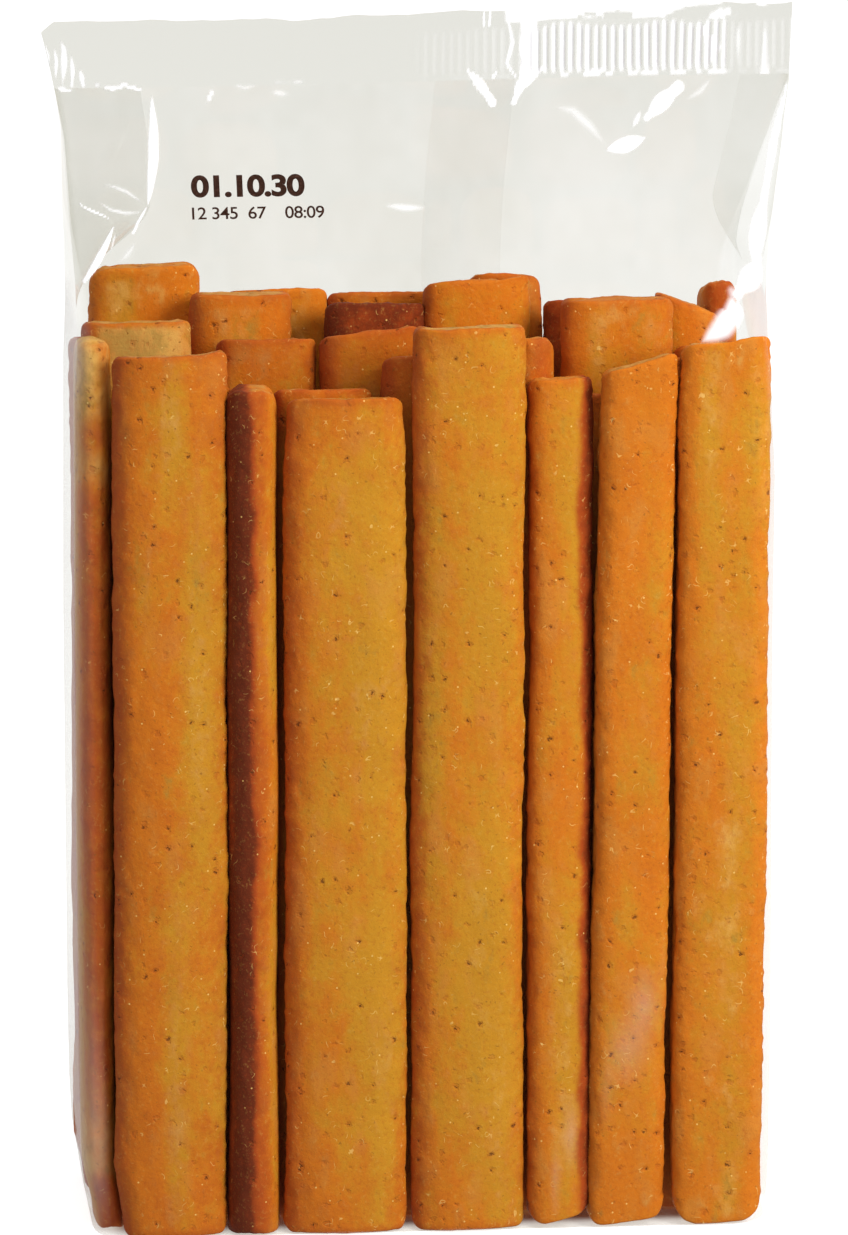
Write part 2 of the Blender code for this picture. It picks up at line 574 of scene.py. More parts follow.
@dataclass
class Stick:
    """One flat stick of crispbread standing in the bag, in millimetres.

    x is the middle of its foot's outline, top the height of its upper end and
    back how far it stands behind its row's middle. turn is its turn about the
    upright in degrees, slant how much higher the right end of its top is,
    hollow how far the middle of its top dips, and lean how far its top stands
    to the right of its foot. fall is how steeply its top drops to the back,
    shade how much painted shade darkens the crust left of the place shade_at
    (right of it if negative), standing for a neighbour's shadow or a side turned
    from the light, and rake how much higher the right end of its foot is.
    edge is how much browner its long edges are, ruddy how much warmer its left
    side is painted than its right, as painted shade on the side away from the
    light, pale_reach how far below the top its pale patch goes, pale_foot how
    far above the foot another one goes, cut how pale its cut ends are, and tip
    how far its foot stands out in front.
    corner and side_round round its top across its width and its depth.
    The bundle sets its name, y, detail and seed.
    """

    x: float
    top: float
    width: float = 19.5
    depth: float = 8.6
    back: float = 0.0
    turn: float = 0.0
    slant: float = 0.0
    hollow: float = 0.2
    lean: float = 0.0
    corner: float = 1.6
    taper: float = 0.0
    warm: float = 0.0
    bake: float = 0.0
    pale: float = 0.0
    foot: float = 0.1
    rake: float = 0.0
    foot_corner: float = 1.6
    side_round: float = 0.6
    squareness: float = 2.7
    end_round: float = 0.45
    fall: float = 0.24
    shade: float = 0.0
    shade_at: float = 0.0
    shaded_side_warmth: float = 0.0
    edge: float = 0.62
    pale_reach: float = 40.0
    pale_foot: float = 0.0
    tip: float = 0.0
    cut: float = 0.45
    name: str = ""
    y: float = 0.0
    detail: Detail = Detail.INNER
    seed: int = 0

    def outline(self) -> tuple:
        """The stick's section, a flat bar with softly rounded faces and edges.

        Returns:
            Points across and through the stick, the outward normals, and how
            close each point is to a long edge, from 0 to 1.
        """
        half_w, half_d, power = self.width / 2, self.depth / 2, self.squareness
        turn = np.linspace(-math.pi, math.pi, SUPERELLIPSE_POINTS)
        c, s = np.cos(turn), np.sin(turn)
        u = half_w * np.sign(c) * np.abs(c) ** (2 / power)
        v = half_d * np.sign(s) * np.abs(s) ** (2 / power)
        runs = np.concatenate([[0], np.cumsum(np.hypot(np.diff(u), np.diff(v)))])
        places = np.linspace(0, runs[-1], self.detail.value[0], endpoint=False)
        u, v = np.interp(places, runs, u), np.interp(places, runs, v)
        nu = np.sign(u) * np.abs(u / half_w) ** (power - 1) / half_w
        nv = np.sign(v) * np.abs(v / half_d) ** (power - 1) / half_d
        size = np.hypot(nu, nv)
        return u, v, nu / size, nv / size, ramp(np.abs(u) / half_w, 0.45, 1.0)

    def levels(self) -> np.ndarray:
        """Heights of the rows as pairs: height, and how far the row is drawn in for a rounded end."""
        r = self.end_round
        _, fine, coarse = self.detail.value
        angles = np.linspace(0, math.pi / 2, 4)
        foot = [(self.foot + r * (1 - math.sin(a)), r * (1 - math.cos(a))) for a in angles[::-1]]
        fine_from = self.top - (SEEN_TOP if coarse > fine else 0.0)
        body = []
        z = self.foot + r + coarse
        while z < self.top - r - 0.5 * fine:
            body.append((z, 0.0))
            z += coarse if z < fine_from else fine
        head = [(self.top - r * (1 - math.sin(a)), r * (1 - math.cos(a))) for a in angles]
        return np.array(foot[:-1] + [(self.foot + r, 0.0)] + body + head)

    def build(self, finish: bpy.types.Material) -> bpy.types.Object:
        """Mesh the stick and dress it.

        Args:
            finish: The bread's material.

        Returns:
            The stick as one closed mesh, in place.
        """
        u, v, nu, nv, edge = self.outline()
        levels = self.levels()
        caps = len(CAP_RINGS)
        heights, insets = np.pad(levels, ((caps, caps), (0, 0)), mode="edge").T
        sizes = np.concatenate([CAP_RINGS[::-1], np.ones(len(levels)), CAP_RINGS])
        rows, columns = len(sizes), len(u)
        rings = [
            stacked((u - inset * nu) * size, (v - inset * nv) * size, z)
            for z, inset, size in zip(heights, insets, sizes)
        ]
        points = np.concatenate(rings)
        flat = np.repeat(sizes < 1.0, columns)
        rounded = np.clip(np.repeat(insets / self.end_round, columns), 0, 1)
        tilt = np.where(flat, 1.0, rounded)[:, None]
        upright = stacked(0.0, 0.0, np.repeat(np.where(np.arange(rows) < rows / 2, -1.0, 1.0), columns))
        normals = mix(np.tile(stacked(nu, nv, 0.0), (rows, 1)), upright, tilt)
        edges = np.tile(edge, rows)
        points = self._shaped(points, normals, edges, flat)
        faces = grid_faces(rows, columns, closed=True)
        faces.append(tuple(range(columns))[::-1])
        faces.append(tuple(range((rows - 1) * columns, rows * columns)))
        stick = make_object(self.name, self._placed(points), faces, finish)
        self._colour(stick, points, edges, flat)
        return stick

    def _noise(self, number: int, spot: np.ndarray, *size: float) -> np.ndarray:
        """One of the stick's own noises, with features of that size across it, through it and up."""
        return noise(self.seed + number, *(spot / np.array(size)).T)

    def _colour(
        self, stick: bpy.types.Object, points: np.ndarray, edges: np.ndarray, flat: np.ndarray
    ) -> None:
        """Store how warm, how baked and how pale the crust is at each vertex, and the painted shade on its
        shadowed parts and on the side away from the light.

        Args:
            stick: The stick's object.
            points: The stick's points before they are placed.
            edges: How close each point is to a long edge.
            flat: Which points are on the cut ends.
        """
        u, v, z = points.T
        up, down = z - self.foot, self.top - z
        right = ramp(u / self.width, -0.5, 0.5)
        ends = 0.7 * ramp(np.minimum(up, down), 2.6, 0)
        # Long edges brown less on the right, the side the light comes from: the left edges carry painted
        # shade.
        edges = np.where(flat, 0.2, np.maximum(edges * mix(1.0, 0.45, right), ends))
        spot = points + self.seed * 17.3
        streak = self._noise(21, spot, 4.5, 4.5, 30.0)
        cloud = self._noise(23, spot, 8.0, 8.0, 14.0)
        patch = self._noise(22, spot, 3.4, 3.4, 5.5)
        toasted = ramp(up, 24, 0) + 0.8 * ramp(down, 16, 0)
        warm = 0.34 + self.warm + 0.50 * edges + 0.45 * streak + 0.20 * cloud + 0.16 * patch
        # ruddy warms the left side, away from the light, as painted shade.
        warm += 0.4 * toasted + self.shaded_side_warmth * (0.62 - right)
        angle = math.radians(self.turn)
        # A dark band left of shade_at, or right of it for a negative shade, is painted shade: a neighbour's
        # shadow or a side turned from the light.
        across = u * math.cos(angle) - v * math.sin(angle)
        across = (across - self.shade_at) * (1 if self.shade > 0 else -1)
        shaded = abs(self.shade) * ramp(across + 0.8 * cloud + 0.9 * patch, 1.4, -1.4)
        high = ramp(-down, -self.pale_reach, -0.3 * self.pale_reach)
        high = np.maximum(high, smooth(1.1 - z / max(self.pale_foot, 0.01)))
        centre = np.clip(1 - 1.3 * edges * abs(math.cos(angle)), 0, 1)
        blob = smooth(0.3 + 0.35 * self.pale + self._noise(24, spot, 6.5, 6.5, 6.5))
        pale = (self.pale * high * blob * (1 + 0.3 * patch) + 0.30 * smooth(-1.5 * streak)) * centre
        # bake carries the crust's browning together with the painted shade.
        bake = self.bake + shaded + self.edge * edges**1.5 + 0.08 * cloud + 0.10 * patch + 0.1 * toasted
        bake -= 0.8 * pale * abs(math.sin(angle))
        # rim marks the right edge, on the lit side, where bright specks are painted as highlights.
        rim = ramp(u / self.width, 0.44, 0.49) * (1 - flat)
        add_attributes(stick, warm=warm, bake=bake, pale=np.where(flat, self.cut, pale), rim=rim)

    def _shaped(
        self, points: np.ndarray, normals: np.ndarray, edges: np.ndarray, flat: np.ndarray
    ) -> np.ndarray:
        """Give the plain bar its slanted, rounded top and uneven, crumbly surface.

        Args:
            points: The bar's points.
            normals: Outward directions at the points.
            edges: How close each point is to a long edge.
            flat: Which points are on the cut ends.

        Returns:
            The points moved.
        """
        half = self.width / 2
        u, v, z = points.T
        near_top = ramp(z, self.top - 12, self.top)
        near_foot = ramp(z, self.foot + 6, self.foot)
        drop = rounding(np.abs(u) - (half - self.corner), self.corner)
        drop += rounding(np.abs(v) - (self.depth / 2 - self.side_round), self.side_round)
        foot_drop = rounding(np.abs(u) - (half - self.foot_corner), self.foot_corner)
        rim = 0.20 * noise(self.seed + 5, u / 4.5, 0, 0) + 0.09 * noise(self.seed + 6, u / 1.1, v / 2.0, 0)
        angle = math.radians(self.turn)
        behind = u * math.sin(angle) + v * math.cos(angle)
        falling = self.fall * (behind - behind.min())
        lift = self.slant * u / self.width - self.hollow * (1 - (u / half) ** 2) - drop + rim - falling
        moved = points.copy()
        moved[:, 2] += near_top * lift
        moved[:, 2] += near_foot * (foot_drop + 0.3 * rim + self.rake * (u / self.width + 0.5))
        moved[:, 0] *= 1 + 0.022 * noise(self.seed + 1, z / 24, 0, 0) - self.taper * near_top
        moved[:, 1] *= 1 + 0.05 * noise(self.seed + 2, z / 24, 0, 0)
        moved[:, 0] += 0.35 * noise(self.seed + 3, z / 24 * 0.7, 0, 0)
        moved[:, 0] += self.lean * (z - self.foot) / (self.top - self.foot)
        spot = points + self.seed * 31.7
        wide = 0.17 * self._noise(7, spot, 7, 7, 13)
        fine = 0.05 * (self._noise(8, spot, 2.6, 2.6, 3.6) + self._noise(9, spot, 1.2, 1.2, 1.2))
        ragged = 1 + 2.6 * edges + 2.5 * flat
        return moved + normals * (wide + fine * ragged)[:, None]

    def _placed(self, points: np.ndarray) -> np.ndarray:
        """Turn the stick and stand it in its place, its foot drawn in by the bag's left side."""
        angle = math.radians(self.turn)
        c, s = math.cos(angle), math.sin(angle)
        u, v, z = points.T
        x = self.x + u * c - v * s
        x += FOOT_SQUEEZE * ramp(z, SQUEEZED_FOOT, 0) * ramp(x, -47, -57)
        y = self.y + u * s + v * c - self.tip * (1 - z / self.top)
        return stacked(x, y, np.maximum(z, 0.05))


@dataclass
class Bundle:
    """All the sticks, row by row from the front of the bag to its back."""

    finish: bpy.types.Material

    def rows(self) -> dict:
        """The sticks of each row.

        Returns:
            By the row's name: its middle from front to back, how finely its
            sticks are meshed, and the sticks from left to right.
        """
        front = [
            Stick(-56.3, 160.0, 18.0, 6.4, 10.3, turn=90, corner=2.6, side_round=2.6, pale=0.85,
                  pale_reach=42.0, pale_foot=34.0, fall=0.12, cut=0.8, bake=0.15, warm=-0.2),
            Stick(-44.2, 158.5, 19.8, hollow=0.8, slant=0.7, lean=0.7, warm=0.15, bake=0.2, shaded_side_warmth=0.9,
                  squareness=2.25, fall=0.17, cut=0.7),
            # Its left half is painted dark as shade, the side turned from the light.
            Stick(-29.2, 151.8, 13.0, 8.9, 2.1, turn=84, bake=0.1, shade=1.3, shade_at=-0.4, squareness=2.2,
                  side_round=3.4, fall=0.1),
            Stick(-13.1, 149.8, 21.3, taper=0.05, hollow=-0.3, warm=-0.1, shaded_side_warmth=0.7, squareness=2.4,
                  fall=0.19, bake=0.07),
            Stick(8.5, 162.0, 19.6, hollow=0.1, corner=1.2, squareness=2.4, warm=-0.1, shaded_side_warmth=0.1, fall=0.13,
                  cut=0.8, bake=0.02),
            # Its right part is painted dark as the shadow of the stick to its right.
            Stick(24.6, 152.4, 11.1, 7.6, 3.1, turn=4, slant=0.7, warm=0.1, shaded_side_warmth=0.6, shade=-1.25,
                  shade_at=3.8, rake=2.6, foot_corner=3.0, tip=3.4, fall=0.16, bake=0.04, edge=0.5),
            Stick(36.6, 155.6, 13.2, turn=4, slant=3.6, lean=1.5, squareness=3.6, warm=0.4, bake=0.05,
                  shaded_side_warmth=0.3, edge=0.1, rake=1.4, foot_corner=2.5, fall=0.15, cut=0.7),
            # Its pale patch over the whole length is painted light that brightens the stick.
            Stick(52.6, 159.4, 16.1, back=-0.1, turn=2, slant=1.8, lean=0.6, taper=0.04, squareness=3.8,
                  warm=0.15, shaded_side_warmth=0.25, edge=0.05, rake=0.4, foot_corner=4.5, bake=-0.12, pale=0.22,
                  pale_reach=400.0),
        ]
        second = [
            # Most of this row shows only in the gaps between the front sticks; its browner, redder crust is
            # painted shade in those gaps.
            Stick(-41.5, 151.0, 19.4, warm=0.8, bake=0.35),
            Stick(-16.4, 150.2, 17.6, 9.4, warm=0.3, bake=0.3),
            Stick(3.6, 155.6, 18.8, warm=0.6, bake=0.3),
            Stick(20.2, 158.6, 18.0, 8.6, 4.8, turn=90, side_round=3.2, warm=0.15),
            Stick(30.9, 147.6, 11.0, 5.4, 2.8, warm=0.8, bake=0.35),
            Stick(49.9, 154.5, 19.0, 7.6, 0.6, warm=0.8, bake=0.35),
        ]
        third = [
            Stick(-47.9, 160.6, 19.2, pale=1.6, pale_reach=16.0, fall=0.15, cut=0.7, bake=0.12),
            Stick(-25.2, 157.0, 18.0, back=2.2, pale=0.5, pale_reach=14.0, warm=0.3, bake=0.3),
            Stick(-7.4, 158.4, 17.4, slant=2.1, warm=0.3, bake=0.25),
            Stick(8.6, 155.6, 14.0),
            Stick(36.1, 163.2, 19.6, pale=0.5, pale_reach=15.0, warm=0.5, bake=0.15, corner=2.0, fall=0.1,
                  cut=0.3),
            Stick(53.4, 154.6, 13.4),
        ]
        fourth = [
            Stick(-50.1, 156.6, 19.3, lean=0.5),
            Stick(-29.1, 162.9, 18.0, back=1.6, pale=0.4, pale_reach=14.0, warm=0.55, bake=0.15, fall=0.1,
                  cut=0.7),
            # Its near-black crust is painted shadow, the shade that falls between the rows.
            Stick(-5.2, 161.6, 17.4, bake=1.35),
            Stick(12.6, 165.4, 19.2, slant=1.5, warm=0.15, cut=0.2),
            Stick(34.0, 161.4, 19.2, bake=0.6, warm=0.3),
            Stick(49.8, 160.4, 11.4, slant=-4.4, warm=0.3, bake=0.1, fall=0.1),
        ]
        back = [
            Stick(-49.6, 166.2, 19.4, corner=2.8, hollow=-0.3, slant=1.0, lean=4.4, warm=0.25, bake=-0.3,
                  fall=0.08, pale=0.35, pale_reach=12.0),
            Stick(-22.0, 162.4, 18.4, bake=-0.15, warm=0.3),
            Stick(-3.4, 161.5, 19.0, bake=0.2, warm=0.5),
            Stick(18.6, 164.0, 13.4, hollow=-0.5, slant=-0.3, corner=2.0, bake=0.2, warm=0.3, pale=0.8,
                  pale_reach=5.0, cut=0.8),
            Stick(35.6, 158.1, 18.6),
            Stick(56.6, 163.0, 12.6, 6.6, 0.3, turn=90, side_round=2.8, bake=0.15, warm=0.3),
            Stick(-34.2, 155.0, 9.0, 5.0, turn=90),
            Stick(8.8, 156.0, 9.0, 4.7, turn=90),
            Stick(49.3, 154.0, 9.0, 6.8, turn=90),
        ]
        return {
            "front": (-20.7, Detail.FRONT, front),
            "second": (-11.2, Detail.INNER, second),
            "third": (-1.6, Detail.INNER, third),
            "fourth": (8.6, Detail.INNER, fourth),
            "back": (18.9, Detail.BACK, back),
        }

    def build(self) -> list:
        """Name, place and build every stick.

        Returns:
            The sticks' objects.
        """
        built = []
        for row, (y, detail, sticks) in self.rows().items():
            for number, stick in enumerate(sticks, 1):
                stick.name = f"stick_{row}_{number}"
                stick.y = y + stick.back
                stick.detail = detail
                stick.seed = 11 * len(built) + 3
                piece = stick.build(self.finish)
                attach(piece, BODY)
                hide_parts(BAG_NODE)
                built.append(piece)
                LOG.info("%s: %d vertices", piece.name, len(piece.data.vertices))
        return built


# ---------------------------------------------------------------- film


@dataclass(frozen=True)
class Crease:
    """A crease or a facet of the film, raised along a line and painted white there as a highlight.

    spine is its line as points (x, z) in millimetres, width its full width in
    the middle, ends how wide its ends are as shares of that.
    """

    spine: tuple
    width: float
    white: float = 1.0
    relief: float = 0.25
    soft: float = 0.35
    ends: tuple = (0.0, 0.0)

    def measure(self, x: np.ndarray, z: np.ndarray) -> tuple:
        """Painted highlight and relief of the film at places on it.

        Args:
            x: Places across the bag.
            z: Their heights.

        Returns:
            Painted highlight whiteness from 0 to 1, and how far the film is raised.
        """
        line = np.array(self.spine)
        lengths = np.hypot(*np.diff(line, axis=0).T)
        runs = np.concatenate([[0], np.cumsum(lengths)]) / lengths.sum()
        best = np.full(x.shape, 1e9)
        along = np.zeros(x.shape)
        for start, end, low, high in zip(line, line[1:], runs, runs[1:]):
            step = end - start
            t = ((x - start[0]) * step[0] + (z - start[1]) * step[1]) / (step @ step)
            t = np.clip(t, 0, 1)
            away = np.hypot(x - start[0] - t * step[0], z - start[1] - t * step[1])
            nearer = away < best
            best = np.where(nearer, away, best)
            along = np.where(nearer, mix(low, high, t), along)
        bulge = np.sin(math.pi * along) ** 0.8
        half = self.width / 2 * np.maximum(bulge, mix(self.ends[0], self.ends[1], along)) + 1e-4
        inside = np.clip((half - best) / (self.soft * self.width / 2 + 0.02), 0, 1)
        raised = self.relief * np.clip(1 - (best / (half + 0.25)) ** 2, 0, 1)
        return self.white * smooth(inside), raised


# The creases' whiteness paints the highlights and reflections of the film's folds and facets.
BODY_SHEEN = Crease(((43.0, 50.0), (38.0, 37.0), (31.0, 22.0)), 9.5, 0.09, 0.0, 1.0)

HEAD_CREASES = (
    BODY_SHEEN,
    Crease(((-61.7, 201.4), (-60.5, 200.7), (-58.6, 200.5)), 0.7, 0.8),
    Crease(((-55.2, 201.6), (-51.8, 200.8), (-49.6, 201.3), (-48.3, 200.9), (-45.8, 200.3)), 0.75, 0.9),
    Crease(((-45.05, 200.0), (-44.9, 195.0), (-45.2, 189.5), (-46.0, 184.8), (-46.6, 182.0)),
           2.0, 1.0, 0.4, 0.3),
    Crease(((-46.8, 182.0), (-48.3, 179.8), (-49.2, 178.2)), 0.55, 0.8, ends=(0.6, 1.0)),
    Crease(((-54.4, 185.9), (-52.3, 185.5), (-50.1, 184.7), (-48.1, 183.4), (-47.0, 182.2)),
           0.9, 0.45, soft=0.9),
    Crease(((-47.0, 182.2), (-48.4, 181.3), (-50.4, 181.3), (-53.0, 181.9), (-55.5, 183.5)),
           0.7, 0.55, soft=0.8),
    Crease(((-58.8, 183.9), (-57.8, 182.5), (-56.1, 181.7), (-54.3, 181.0), (-52.7, 180.2)), 0.4, 0.8),
    Crease(((-52.4, 179.6), (-53.6, 177.1), (-54.5, 175.4), (-56.5, 172.4), (-59.0, 169.4)),
           1.35, 1.0, 0.4, 0.25),
    Crease(((-52.1, 178.6), (-52.7, 176.8), (-53.3, 175.0)), 0.5, 0.5, soft=0.7),
    Crease(((-48.8, 176.9), (-49.6, 175.6), (-50.6, 174.5), (-52.0, 173.6)), 1.3, 0.3, soft=1.0),
    Crease(((-34.1, 201.0), (-34.6, 199.9), (-35.5, 198.1)), 0.7, 0.8, soft=0.6),
    Crease(((-31.1, 201.3), (-28.7, 200.6), (-26.4, 201.1)), 0.8, 0.3, soft=0.9),
    Crease(((-24.4, 200.0), (-21.0, 199.5)), 1.5, 0.35, soft=1.0),
    Crease(((-24.3, 201.4), (-20.8, 201.7), (-16.1, 201.1)), 0.45, 0.35, soft=0.8),
    Crease(((-6.0, 182.0), (-1.9, 181.5), (2.2, 181.4)), 1.7, 0.5, soft=1.0),
    Crease(((10.2, 203.2), (12.4, 200.7), (14.3, 197.9)), 1.7, 1.0, 0.3, 0.2, (0.25, 0.9)),
    Crease(((18.0, 197.8), (19.4, 200.6), (23.8, 203.7)), 1.9, 1.0, 0.3, 0.2, (0.5, 0.4)),
    Crease(((24.6, 197.2), (28.2, 196.5), (31.0, 194.0), (33.8, 190.6)), 2.4, 0.34, 0.3, 1.0),
    Crease(((33.5, 190.2), (36.5, 190.8), (40.6, 192.1)), 2.7, 1.0, 0.4, 0.3),
    Crease(((38.3, 193.6), (39.3, 195.0), (40.1, 196.5)), 1.1, 0.6, 0.3, 0.8),
    Crease(((41.0, 195.2), (43.7, 197.5), (47.0, 200.0)), 3.0, 1.0, 0.4, 0.3, (0.45, 0.75)),
    Crease(((47.9, 197.8), (50.9, 199.3), (53.1, 201.6)), 1.4, 0.25, 0.2, 1.0),
    Crease(((66.1, 200.2), (63.0, 191.0), (60.9, 183.5), (59.9, 179.1)), 1.3, 1.0, 0.3, 0.3, (0.2, 1.0)),
    Crease(((60.6, 182.6), (58.9, 175.9), (58.2, 171.1)), 3.2, 1.0, 0.3, 0.4, (0.2, 0.4)),
    Crease(((59.2, 172.6), (57.2, 169.2), (54.9, 167.0)), 4.6, 0.95, 0.3, 0.5, (0.3, 0.6)),
    Crease(((54.0, 167.6), (54.1, 164.0), (52.2, 161.5), (48.2, 158.9)), 5.4, 0.82, 0.1, 0.6, (0.4, 0.0)),
    Crease(((41.8, 48.5), (38.6, 39.0), (35.6, 29.0)), 7.5, 0.11, 0.0, 1.0, (0.1, 0.6)),
    Crease(((28.2, 22.0), (25.2, 14.5), (22.5, 6.5)), 4.5, 0.10, 0.0, 1.0, (0.1, 0.6)),
)

# Painted highlights on the seal's creases.
SEAL_CREASES = (
    Crease(((-63.3, 208.8), (-62.8, 206.5), (-62.7, 204.0)), 0.45, 0.7),
    Crease(((-61.9, 208.2), (-61.4, 206.0), (-61.6, 202.4)), 0.8, 0.8, soft=0.6),
    Crease(((-60.9, 209.6), (-60.1, 207.8), (-60.1, 205.0), (-60.4, 201.6)),
           1.6, 0.8, soft=0.6, ends=(0.2, 0.4)),
    Crease(((-58.9, 206.8), (-58.6, 203.8), (-58.8, 201.4)), 1.0, 0.85, soft=0.6, ends=(0.0, 0.8)),
    Crease(((-57.4, 204.2), (-57.0, 202.5), (-56.8, 201.3)), 1.2, 0.85, soft=0.6, ends=(0.1, 0.8)),
    Crease(((20.9, 212.6), (21.0, 206.6), (20.4, 202.2)), 3.8, 1.0, soft=0.25, ends=(0.9, 0.7)),
    Crease(((17.2, 212.3), (18.2, 208.0), (17.0, 204.2), (18.6, 202.0)), 0.9, 0.9, soft=0.5, ends=(0.6, 0.6)),
    Crease(((13.1, 213.3), (13.1, 211.1)), 0.45, 1.0, ends=(0.8, 0.8)),
    Crease(((14.2, 213.3), (14.0, 210.9)), 0.5, 1.0, ends=(0.8, 0.8)),
    Crease(((15.2, 202.6), (14.4, 201.6)), 0.7, 1.0, ends=(0.6, 0.6)),
    Crease(((53.0, 212.2), (55.8, 213.0)), 2.4, 1.0, soft=0.6, ends=(0.7, 0.7)),
    Crease(((60.6, 214.2), (63.5, 214.6), (66.9, 214.8)), 0.8, 1.0, soft=0.4, ends=(0.6, 0.8)),
    Crease(((34.2, 203.2), (32.4, 202.5), (31.0, 202.2)), 1.8, 1.0, soft=0.3, ends=(0.2, 0.7)),
    Crease(((51.5, 209.9), (53.4, 206.6), (52.6, 203.6)), 3.2, 0.9, soft=0.5, ends=(0.7, 0.3)),
)

# Places where the seal's painted white top edge is left clear.
SEAL_WINDOWS = (
    Crease(((29.7, 212.4), (31.6, 212.8), (33.6, 212.2)), 1.4, soft=0.5, ends=(0.6, 0.6)),
    Crease(((34.6, 212.6), (38.4, 212.6)), 2.0, soft=0.3, ends=(0.9, 0.9)),
    Crease(((43.8, 212.0), (50.0, 212.9), (57.0, 213.9)), 3.4, soft=0.3, ends=(0.1, 1.0)),
)

LEFT_EDGE = (
    (0, -57.4), (5, -58.9), (12, -59.8), (31, -60.1), (105, -60.2), (150, -59.8), (160, -59.3),
    (170, -59.4), (180, -60.1), (193, -60.7), (200, -61.7), (212, -64.0),
)
RIGHT_EDGE = (
    (0, 61.2), (6, 61.9), (39, 62.2), (105, 61.9), (135, 62.1), (152, 61.2), (160, 60.5),
    (166, 60.3), (171, 60.6), (175, 61.2), (183, 62.9), (190, 64.6), (200, 66.6), (212, 67.1),
)


